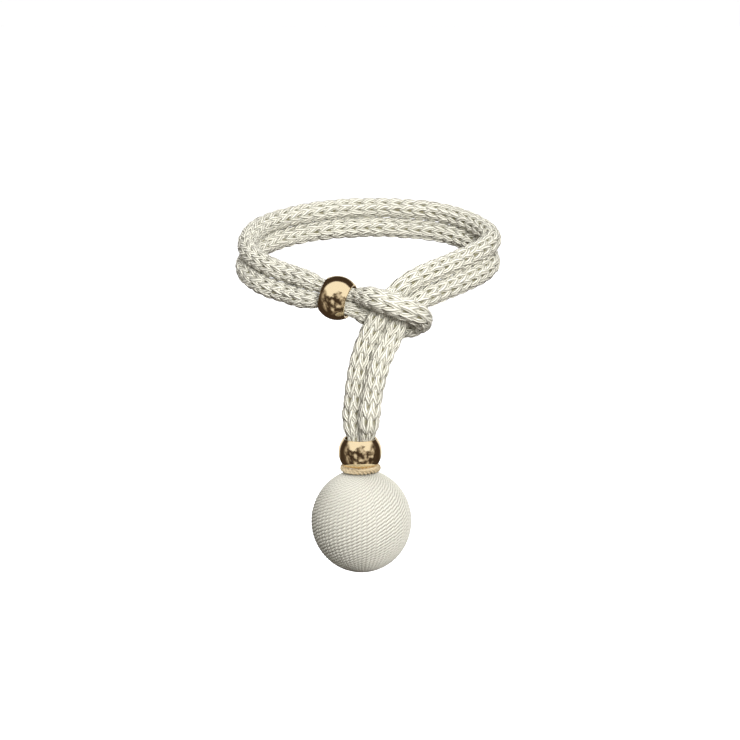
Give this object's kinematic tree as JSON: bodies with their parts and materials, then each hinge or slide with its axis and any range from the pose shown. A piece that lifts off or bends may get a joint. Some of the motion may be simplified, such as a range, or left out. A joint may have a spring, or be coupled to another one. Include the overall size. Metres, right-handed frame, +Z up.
{
  "type": "curtain tieback rope with ball pendant",
  "caption": "Ivory knitted rope doubled round a gathered curtain, closed by a gold slider bead and loop, with a tail ending in a gold collar bead and a thread-wound ball.",
  "frame": {"origin": "middle of the rope ring, where the gathered curtain passes through, level with the ring's two sides", "axes": "+Z up along the gathered curtain, -Y to the front where the ball hangs, +X to the right seen from the front"},
  "size_m": [0.1359, 0.1366, 0.1741],
  "materials": {
    "rope_yarn": "glossy knitted filament yarn",
    "gold_plate": "polished champagne gold plating",
    "gold_cord": "twisted metallic thread",
    "ball_thread": "satin plied thread"
  },
  "bodies": {
    "root": {"rope": "rope_yarn", "slider_bead": "gold_plate", "collar_bead": "gold_plate", "cord_ring": "gold_cord", "ball": "ball_thread"}
  },
  "joints": []
}
